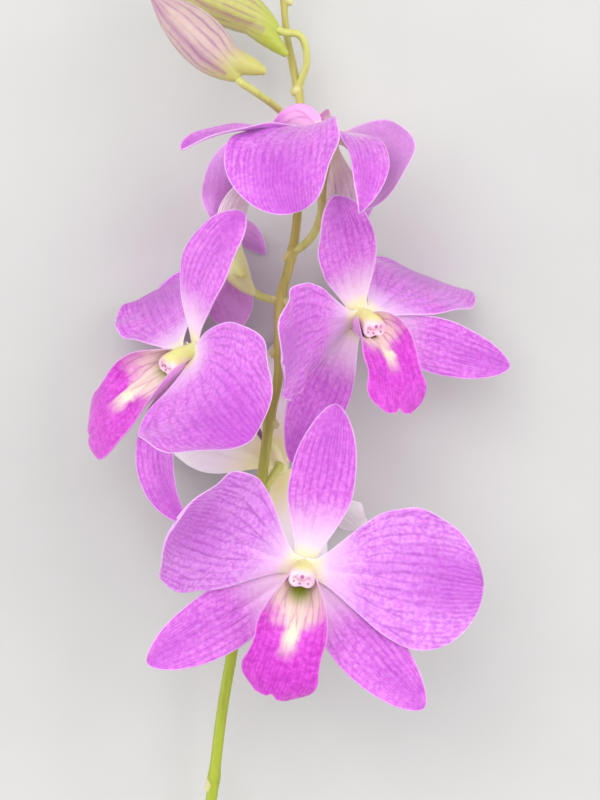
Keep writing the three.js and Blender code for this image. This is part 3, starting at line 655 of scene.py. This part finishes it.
def add_blade(name, bloom, part, seed):
    shape = {**full_shape(bloom, part), **FINE_CHANGES.get(f"{name}_{part}", {})}
    kind = shape["kind"]
    n, m = FINE_GRID[kind]
    inner_u = np.sin(QUARTER_TURN * np.arange(n + 1) / n) ** STEP_SPREAD
    u = np.concatenate([np.linspace(-BASE_REACH, 0, BASE_ROWS, endpoint=False), inner_u])
    even = 2 * np.arange(m + 1) / m - 1
    crowded = np.sin(QUARTER_TURN * even * COLUMN_SPREAD) / math.sin(QUARTER_TURN * COLUMN_SPREAD)
    v = (SPREAD_SHARE * crowded + (1 - SPREAD_SHARE) * even)[None, :]
    points, normals = blade_surface(shape, u, v)
    w = half_width(shape, u)[:, None]
    points = points + normals * relief(shape, u, v, w, seed)[:, :, None]
    if kind == "lip":
        ahead = np.gradient(points, axis=0)
        ahead = ahead / np.linalg.norm(ahead, axis=2, keepdims=True)
        pull = NOTCH * np.exp(-((v / NOTCH_WIDTH) ** 2)) * smoothstep(u, 0.82, 1)[:, None]
        pull = pull + LOBE_REACH * v**2 * (1 - smoothstep(u, 0, 0.36))[:, None]
        points = points - ahead * pull[:, :, None]
    inside = np.clip(u, 0, 1)[:, None]
    thick = THIN + (THICK[kind] - THIN) * (1 - np.abs(v) ** 4) * (1 - 0.7 * inside**3)
    placed = in_bloom(bloom, points.reshape(-1, 3))
    turned = normals.reshape(-1, 3) @ bloom_matrix(bloom).T
    half = (thick / 2).reshape(-1, 1)
    placed[:, 2] = np.maximum(placed[:, 2], half[:, 0] + 2 * CLEARANCE)
    front, back = placed + turned * half, placed - turned * half
    both = np.concatenate([front, back])
    both[:, 2] = np.maximum(both[:, 2], CLEARANCE)

    rows, cols = len(u), m + 1
    low = rows * cols
    grid = np.arange(low).reshape(rows, cols)
    a, b, c, d = (g.ravel() for g in (grid[:-1, :-1], grid[:-1, 1:], grid[1:, 1:], grid[1:, :-1]))
    faces = np.concatenate([np.stack([a, b, c, d], 1), np.stack([a, d, c, b], 1) + low])
    rim = np.concatenate([grid[0, :-1], grid[:-1, -1], grid[-1, :0:-1], grid[:0:-1, 0]])
    after = np.roll(rim, -1)
    faces = np.concatenate([faces, np.stack([rim, rim + low, after + low, after], 1)])

    widest = w.max()
    before = np.arange(rows)[:, None] < np.argmax(w[:, 0])
    reach = np.where(before, w, widest * (w / widest) ** PATTERN_TAPER[kind])
    x, y = w * v, u[:, None] * shape["length"] + 0 * v
    edge_x = np.concatenate([x[:, 0], x[-1], x[::-1, -1]])
    edge_y = np.concatenate([y[:, 0], y[-1], y[::-1, -1]])
    edge = margin_distance(x, y, edge_x, edge_y)
    blade = np.stack([x / reach, inside + 0 * v, edge], 2).reshape(-1, 3)
    attributes = {
        "blade": np.concatenate([blade, blade]),
        "inner": np.concatenate([np.ones(low), np.zeros(low)]),
    }
    node = f"{name}_{part}"
    look = SPECIAL_LOOKS.get(node, kind)
    if name == "bloom_2" and kind != "lip":
        look = "pale"
    return make_mesh(
        f"{node}_form", to_frame(both), faces.tolist(), attributes, MATERIALS[look],
        [node])


for number, (name, bloom) in enumerate(BLOOMS.items()):
    for index, part in enumerate(BLADES):
        add_blade(name, bloom, part, 100 * number + index)


# Round bodies: tubes through points, fused and smoothed

def smooth_line(points, steps):
    """A centripetal curve through points, given at steps + 1 places for each stretch."""
    p = [np.array(q, float) for q in points]
    p = [2 * p[0] - p[1], *p, 2 * p[-1] - p[-2]]
    out = []
    for k in range(1, len(p) - 2):
        four = p[k - 1:k + 3]
        t = [0.0]
        for j in range(3):
            t.append(t[-1] + max(np.linalg.norm(four[j + 1][:3] - four[j][:3]) ** 0.5, 1e-4))
        for s in np.linspace(t[1], t[2], steps, endpoint=False):
            a = [((t[j + 1] - s) * four[j] + (s - t[j]) * four[j + 1]) / (t[j + 1] - t[j])
                 for j in range(3)]
            b = [((t[j + 2] - s) * a[j] + (s - t[j]) * a[j + 1]) / (t[j + 2] - t[j])
                 for j in range(2)]
            out.append(((t[2] - s) * b[0] + (s - t[1]) * b[1]) / (t[2] - t[1]))
    out.append(p[-2])
    return np.array(out)


def close_rings(rings, start, end):
    """A closed body as (points, faces) from rings of equally many points and its two ends."""
    count, sides = len(rings), len(rings[0])
    faces = []
    for i in range(count - 1):
        for k in range(sides):
            a, b = i * sides + k, i * sides + (k + 1) % sides
            faces.append([a, b, b + sides, a + sides])
    first, last_ring = count * sides, (count - 1) * sides
    for k in range(sides):
        faces.append([first, (k + 1) % sides, k])
        faces.append([first + 1, last_ring + k, last_ring + (k + 1) % sides])
    return np.concatenate([*rings, [start], [end]]), faces


def tube(points, radii, sides=20, flat=1.0, section=None):
    """A closed round body along points. section gives the share of the radius round a ring."""
    count = len(points)
    side = np.array([1.0, 0, 0])
    rings = []
    for i in range(count):
        forward = points[min(i + 1, count - 1)] - points[max(i - 1, 0)]
        forward = forward / np.linalg.norm(forward)
        if abs(forward @ side) > 0.95:
            side = np.array([0, 0, 1.0])
        side = side - (side @ forward) * forward
        side = side / np.linalg.norm(side)
        up = np.cross(forward, side)
        angle = 2 * math.pi * (np.arange(sides) + 0.5) / sides
        r = radii[i] * (section(angle, i / (count - 1)) if section else 1)
        ring = (points[i] + np.outer(r * np.cos(angle), side)
                + np.outer(r * flat * np.sin(angle), up))
        rings.append(ring)
    return close_rings(rings, points[0], points[-1])


def fuse(bodies, voxel, rounds):
    """One skin round all the bodies, evened out. Returns (points, faces) in millimetres."""
    points, faces, base = [], [], 0
    for body, its_faces in bodies:
        points.append(body)
        faces += [[base + i for i in face] for face in its_faces]
        base += len(body)
    mesh = bpy.data.meshes.new("fuse")
    mesh.from_pydata(np.concatenate(points).tolist(), [], faces)
    item = bpy.data.objects.new("fuse", mesh)
    bpy.context.scene.collection.objects.link(item)
    remesh = item.modifiers.new("remesh", "REMESH")
    remesh.mode = "VOXEL"
    remesh.voxel_size = voxel
    smooth = item.modifiers.new("smooth", "SMOOTH")
    smooth.factor = 0.5
    smooth.iterations = rounds
    bpy.context.view_layer.update()
    done = bpy.data.meshes.new_from_object(item.evaluated_get(bpy.context.evaluated_depsgraph_get()))
    found = np.zeros(len(done.vertices) * 3)
    done.vertices.foreach_get("co", found)
    skin = [list(f.vertices) for f in done.polygons]
    bpy.data.objects.remove(item)
    bpy.data.meshes.remove(mesh)
    bpy.data.meshes.remove(done)
    return found.reshape(-1, 3), skin


# Columns: a hood with wings, an anther cap, and the chin behind the lip

HOOD = [
    # place along the bloom's axis, middle height, half width, height above, depth below, hollow
    (-4.4, 0, 0.95, 0.95, 0.95, 0), (-2.6, 0, 1.7, 1.7, 1.7, 0), (0, 0.3, 1.6, 1.5, 1.5, 0),
    (1.6, 0.4, 1.7, 1.5, 1.6, 0.2), (3, -0.1, 2, 1.6, 1.8, 0.45), (4.2, -0.7, 2.3, 1.7, 2, 0.3),
    (4.9, -1.3, 2.4, 1.5, 1.7, 0.3), (4.9, -1.3, 1.8, 0.9, 1.2, 0.3), (4.2, -0.9, 1.3, 0.5, 0.7, 0.3),
    (3.8, -0.8, 0.3, 0.2, 0.2, 0),
]
HOOD_SIDES = 40


def hood():
    """The column's body: open below at its front, where it is wider than behind."""
    rows = smooth_line(HOOD, 5)
    angle = 2 * math.pi * np.arange(HOOD_SIDES) / HOOD_SIDES
    rings = []
    for z, y, half, above, below, hollow in rows:
        x = half * np.cos(angle) * (1 + 0.22 * hollow * np.clip(-np.sin(angle), 0, 1))
        drop = below * (1 - hollow * np.exp(-((x / 0.95) ** 2)))
        height = np.where(angle < math.pi, above, drop) * np.sin(angle)
        rings.append(np.stack([x, y + height, z + 0 * x], 1))
    return close_rings(rings, rings[0].mean(0), rings[-1].mean(0))


# Where the small dark teeth sit on the front of the column
TEETH = ((-1.4, -1.7), (-0.3, -2.0), (1.2, -1.9))


def column_material(name, chin_colour, chin_reach=-1.5):
    """Pinkish hood, yellow-green on its back and chin, a dark purple spot of painted shade in the
    hollow at its front, and small dark teeth.
    """
    sh = Shader(name, roughness=0.38, subsurface=0.2, specular=0.45)
    x, y, z = sh.split(sh.attribute("local").outputs["Vector"])
    tone = sh.noise(500, 2)
    colour = sh.mix(sh.ramp(tone, 0.3, 0.7), 0xF0D3DF, 0xE3B3CC)
    back = sh.ramp(sh.add(y, sh.times(sh.less(tone, 0.5), 1.5)), -0.6, 1.1)
    colour = sh.mix(back, colour, 0xDDDB8E)
    colour = sh.mix(sh.ramp(z, -1.0, 1.5, 0.8, 0.0), colour, 0xE4E2A6)
    chin = sh.ramp(y, -6.0, chin_reach, 1.0, 0.0)
    chin = sh.times(chin, sh.ramp(z, 0.0, 2.0, 0.85, 0.0))
    colour = sh.mix(chin, colour, chin_colour)
    colour = sh.mix(sh.ramp(y, -6.6, -4.6, 0.9, 0.0), colour, 0xCFD27C)

    def paint_tooth_and_shade(at_x, at_y, radius, strength, tint, base):
        gap = sh.add(sh.math("POWER", sh.less(x, at_x), 2.0), sh.math("POWER", sh.less(y, at_y), 2.0))
        away = sh.math("POWER", gap, 0.5)
        tooth_and_shade = sh.times(sh.ramp(away, radius * 0.5, radius, strength, 0.0), sh.ramp(z, 3.4, 4.2))
        return sh.mix(tooth_and_shade, base, tint)

    # Painted shade: a dark purple spot over the hollow in the column's front, where the stigma lies
    colour = paint_tooth_and_shade(0.0, -0.7, 0.5, 0.85, 0xA8408C, colour)
    for at_x, at_y in TEETH:
        colour = paint_tooth_and_shade(at_x, at_y, 0.28, 0.7, 0x7E2E58, colour)
    return sh.finish(colour, tone, 0.0001, 0.5)


MATERIALS["column"] = column_material("column_skin", 0xCFD27C)
MATERIALS["pink_column"] = column_material("pink_column_skin", 0xDDAFCF)
MATERIALS["green_column"] = column_material("green_column_skin", 0xD3D690, 6.0)
COLUMN_LOOKS = {"bloom_5": "green_column", "bloom_6": "pink_column"}
# How much of its height the column of the bloom seen from above keeps
SHORT_COLUMN = 0.6
# The swollen chin of the bloom seen from behind, with the radius at each point
BIG_CHIN = [
    (-12.4, 29.6, 16.5, 1.5), (-12.6, 27, 16.8, 2.3), (-12, 24.4, 17, 2.5), (-10.4, 21.8, 17, 1.7),
    (-8.4, 19.6, 17, 0.4),
]


def add_column(name, bloom):
    """Hood, anther cap and chin as one skin. The attribute tells its paint where it lies."""
    chin_turn = math.radians(180 - bloom.get("chin", 180))
    line = smooth_line([(0, y, z, r) for y, z, r in CHIN_LINE], 8)
    turn = np.array([[math.cos(chin_turn), -math.sin(chin_turn), 0],
                     [math.sin(chin_turn), math.cos(chin_turn), 0], [0, 0, 1]])
    chin = tube(line[:, :3] @ turn.T, line[:, 3], 24)
    cap_line = np.array([(0, -0.55, z) for z in np.linspace(3.6, 5.4, 14)])
    t = np.linspace(-1, 1, 14)
    cap = tube(cap_line, 1.1 * np.sqrt(np.maximum(1 - t**2, 0.01)), 24, 0.85)
    bodies = [hood(), chin, cap]
    if name == "bloom_5":
        line = smooth_line(BIG_CHIN, 8)
        own = (line[:, :3] - np.array(bloom["at"])) @ bloom_matrix(bloom)
        bodies.append(tube(own, line[:, 3], 24))
    points, faces = fuse(bodies, 0.18, 2)
    if name == "bloom_6":
        points[:, 2] = np.where(points[:, 2] > 0, points[:, 2] * SHORT_COLUMN, points[:, 2])
    straight = points @ turn
    on_chin = (straight[:, 1] < -2) & (points[:, 2] < 1.5)
    local = np.where(on_chin[:, None], straight, points)
    placed = in_bloom(bloom, points)
    placed[:, 2] = np.maximum(placed[:, 2], CLEARANCE)
    skin = MATERIALS[COLUMN_LOOKS.get(name, "column")]
    return make_mesh(
        f"{name}_column_form", to_frame(placed), faces, {"local": local}, skin,
        [f"{name}_column"])


for name, bloom in BLOOMS.items():
    add_column(name, bloom)


# Buds

def bud_material(name, colours):
    """Folded sepals of a closed bud: pale ground, long stripes, a green base and dark seams."""
    sh = Shader(name, roughness=0.42, sheen=0.15, subsurface=0.15)
    down, round_at, seam = sh.split(sh.attribute("bud").outputs["Vector"])
    tone = sh.noise(700, 2, 0.6)
    patch = sh.noise(130, 2)
    ground, stripe, base, tip = colours
    wave = sh.add(sh.times(round_at, 15.0), sh.times(sh.less(patch, 0.5), 1.2))
    part = sh.math("ABSOLUTE", sh.less(sh.math("FRACT", wave), 0.5))
    line = sh.ramp(part, 0.04, 0.26, 1.0, 0.0)
    line = sh.times(line, sh.ramp(sh.noise(240, 2), 0.3, 0.65, 0.25, 1.0))
    colour = sh.mix(sh.times(sh.ramp(tone, 0.3, 0.7), 0.35), ground, tip)
    colour = sh.mix(sh.times(line, 0.6), colour, stripe)
    colour = sh.mix(sh.times(sh.ramp(down, 0.7, 1.0), 0.7), colour, tip)
    from_root = sh.add(down, sh.times(sh.less(patch, 0.5), 0.2))
    colour = sh.mix(sh.ramp(from_root, 0.02, 0.3, 1.0, 0.0), colour, base)
    colour = sh.mix(sh.times(sh.ramp(seam, 0.0, 0.35, 1.0, 0.0), 0.5), colour, stripe)
    return sh.finish(colour, sh.less(tone, sh.times(line, 0.5)), 0.0001, 0.6)


# Ground, stripes, base and tip of each bud
BUD_COLOURS = {
    "bud_1": (0xC6AEA2, 0x94588A, 0xBEBB66, 0xB98AA2),
    "bud_2": (0xBCC162, 0x9C6E7A, 0xAEB746, 0xBA9682),
    "bud_3": (0xC4CE82, 0xB6AC84, 0xAEBE58, 0xC9BE94),
    "bud_4": (0xBECB78, 0xB0B070, 0xAABB54, 0xC2BE88),
}


# A spur's radius as a share of the bud's width: the places along it and the values there
SPUR_PROFILE = ([0, 0.45, 0.75, 1], [0.32, 0.25, 0.17, 0.07])


def seam_grooves(angle, _):
    """Radius round a bud, lower along its three seams."""
    off = ((angle * 3 / (2 * math.pi)) % 1) - 0.5
    return 1 - 0.05 * np.exp(-((off / 0.05) ** 2))


def add_bud(name, bud):
    root, tip, spur = (np.array(bud[k], float) for k in ("root", "tip", "spur"))
    axis = (tip - root) / np.linalg.norm(tip - root)
    long = np.linalg.norm(tip - root)
    side = np.cross(axis, [0, 0, 1.0])
    side = side / np.linalg.norm(side)
    up = np.cross(side, axis)
    place = np.linspace(0, 1, 40)
    bend = 0.02 * long * np.sin(math.pi * place)
    line = root + np.outer(place * long, axis) + np.outer(bend, side)
    radii = along(BUD_OUTLINE, place) * bud["width"] / 2
    body = tube(line, radii, 60, 0.9, seam_grooves)
    middle = root + 0.3 * (tip - root)
    spur_line = smooth_line([middle, middle * 0.45 + spur * 0.55 + up * 0.02 * long, spur], 8)
    share = np.linspace(0, 1, len(spur_line))
    spur_radii = bud["width"] * np.interp(share, *SPUR_PROFILE)
    voxel = 0.2 if bud["width"] > 5 else 0.12
    points, faces = fuse([body, tube(spur_line, spur_radii, 24)], voxel, 2)
    off = points - root
    down = off @ axis / long
    angle = np.arctan2(off @ up, off @ side) / (2 * math.pi) + 0.5
    seam = np.abs((angle * 3 % 1) - 0.5) * 2
    seam = np.where(down < 0.08, 1, seam)
    attribute = np.stack([down, angle, seam], 1)
    return make_mesh(
        f"{name}_form", to_frame(points), faces, {"bud": attribute},
        bud_material(f"{name}_skin", BUD_COLOURS[name]), [name])


for name, bud in BUDS.items():
    add_bud(name, bud)


# Stem: the main stalk, the bloom and bud stalks, and the scale leaves

def stalk_material(name, low, high, dark, change):
    """Smooth green stalk: its colour changes along the stem, with fine lengthwise streaks."""
    sh = Shader(name, roughness=0.4, subsurface=0.08, specular=0.45)
    x, y, z = sh.split(sh.place)
    streak = sh.noise(900, 3, 0.6, sh.join(x, sh.times(y, 0.08), z))
    patch = sh.noise(90, 3)
    place = sh.add(y, sh.times(sh.less(patch, 0.5), 0.02))
    colour = sh.mix(sh.ramp(place, change[0] * MM, change[1] * MM), low, high)
    colour = sh.mix(sh.times(sh.ramp(streak, 0.4, 0.75), 0.4), colour, dark)
    return sh.finish(colour, streak, 0.0001, 0.5)


stem_skin = stalk_material("stem_skin", 0xA3B02E, 0xBDB25C, 0x80822E, (-20, 45))
stalk_skin = stalk_material("stalk_skin", 0xC2CC62, 0xC8C872, 0x9FA648, (-20, 60))
scale_skin = stalk_material("scale_skin", 0xCFC98A, 0xD3CB8C, 0xA39552, (-20, 60))


# How much the stem swells at a joint, and how far along it, in millimetres
JOINT_SWELLING = 0.22
JOINT_SPREAD = 1.6
# A scale leaf from its collar to its point: share of its length and radius
SCALE_PROFILE = np.array(
    [(-0.9, 0.5), (-0.5, 0.95), (-0.1, 1.12), (0.3, 0.74), (0.65, 0.36), (1, 0.06)])


def stem_ribs(angle, _):
    """Radius round the stem, which has six low ribs."""
    return 1 + 0.025 * np.cos(6 * angle)


def add_stem():
    line = smooth_line(STEM_LINE, 14)
    radii = line[:, 3].copy()
    for at, _, _ in JOINTS.values():
        away = np.linalg.norm(line[:, :3] - np.array(at), axis=1)
        radii += JOINT_SWELLING * np.exp(-((away / JOINT_SPREAD) ** 2))
    points, faces = fuse([tube(line[:, :3], radii, 28, 1, stem_ribs)], 0.26, 2)
    points[:, 2] = np.maximum(points[:, 2], CLEARANCE)
    make_mesh("stem_stalk_form", to_frame(points), faces, {}, stem_skin, ["stem"])


def bezier(a, b, c, d, count):
    t = np.linspace(0, 1, count)[:, None]
    return (1 - t) ** 3 * a + 3 * (1 - t) ** 2 * t * b + 3 * (1 - t) * t**2 * c + t**3 * d


def add_stalks():
    bodies = []
    for name, (joint, lead) in BLOOM_STALKS.items():
        behind = COLUMN_ROOT - SEAT_GAP
        spots = np.array([[0, 0, behind - lead], [0, 0, behind - STALK_FOOT], [0, 0, behind + 0.9]])
        near, foot, seat = in_bloom(BLOOMS[name], spots)
        start = np.array(JOINTS[joint][0], float)
        bend = near + (start - near) * STALK_BEND
        line = np.vstack([bezier(start, bend, near, foot, 40), seat])
        if name in HOOKED_STALKS:
            line = smooth_line([start, *HOOKED_STALKS[name], foot, seat], 12)
        flare = 0.9 + 0.35 * np.linspace(0, 1, len(line)) ** 6
        bodies.append(tube(line, PEDICEL_RADIUS * flare, 20))
    for name, (start, through) in BUD_STALKS.items():
        root, tip = (np.array(BUDS[name][k], float) for k in ("root", "tip"))
        back = (root - tip) / np.linalg.norm(root - tip)
        foot = root + back * (SEAT_GAP + STALK_FOOT)
        line = np.vstack([smooth_line([start, *through, foot], 14), root - back * 0.5])
        bodies.append(tube(line, BUD_STALK_RADIUS * np.linspace(0.95, 1.1, len(line)), 18))
    points, faces = fuse(bodies, 0.22, 2)
    points[:, 2] = np.maximum(points[:, 2], CLEARANCE)
    make_mesh("stem_bloom_stalks_form", to_frame(points), faces, {}, stalk_skin, ["stem"])


def add_scales():
    bodies = []
    for at, toward, length in JOINTS.values():
        out = np.array(toward, float) / np.linalg.norm(toward)
        share = np.linspace(0, 1, 20)
        places = np.linspace(0, 1, len(SCALE_PROFILE))
        t, r = (np.interp(share, places, column) for column in SCALE_PROFILE.T)
        line = np.array(at) + np.outer(t * length, out)
        bodies.append(tube(line, r, 20))
    points, faces = fuse(bodies, 0.16, 2)
    make_mesh("stem_scales_form", to_frame(points), faces, {}, scale_skin, ["stem"])


add_stem()
add_stalks()
add_scales()


# Floor, light and camera

# Half the side of the floor in metres
FLOOR_HALF = 1.5


def add_floor():
    mesh = bpy.data.meshes.new("floor")
    corners = [(x * FLOOR_HALF, y * FLOOR_HALF, 0) for x, y in ((-1, -1), (1, -1), (1, 1), (-1, 1))]
    mesh.from_pydata(corners, [], [[0, 1, 2, 3]])
    sh = Shader("floor_paper", roughness=0.8, specular=0.2)
    tone = sh.noise(60, 3)
    mesh.materials.append(sh.finish(sh.mix(tone, 0xC9C8C5, 0xC3C2BF), tone, 0.0001, 0.2))
    floor = bpy.data.objects.new("floor", mesh)
    bpy.context.scene.collection.objects.link(floor)


def add_light(name, place, size, power):
    """A soft lamp that points at the origin."""
    lamp = bpy.data.lights.new(name, "AREA")
    lamp.size = size
    lamp.energy = power
    item = bpy.data.objects.new(name, lamp)
    item.location = place
    direction = -item.location
    item.rotation_euler = direction.to_track_quat("-Z", "Y").to_euler()
    bpy.context.scene.collection.objects.link(item)


def add_camera():
    data = bpy.data.cameras.new("camera")
    data.sensor_width = SENSOR
    data.lens = FOCAL_PX * SENSOR / PHOTO_HEIGHT_PX
    data.clip_start = 0.01
    data.clip_end = 20
    camera = bpy.data.objects.new("camera", data)
    camera.location = (ORIGIN[0] * MM, ORIGIN[1] * MM, (ORIGIN[2] + CAMERA_HEIGHT) * MM)
    bpy.context.scene.collection.objects.link(camera)
    bpy.context.scene.camera = camera


add_floor()
add_light("key", (-0.3, 0.4, 1.0), 0.9, 7)
add_light("fill", (0.7, 0.1, 0.7), 0.9, 6)
add_light("side", (-0.8, -0.1, 0.3), 0.6, 2.5)
world = bpy.data.worlds.new("studio")
world.use_nodes = True
world.node_tree.nodes["Background"].inputs["Color"].default_value = (0.95, 0.97, 1, 1)
world.node_tree.nodes["Background"].inputs["Strength"].default_value = 0.62
bpy.context.scene.world = world
bpy.context.scene.view_settings.view_transform = "Standard"
add_camera()
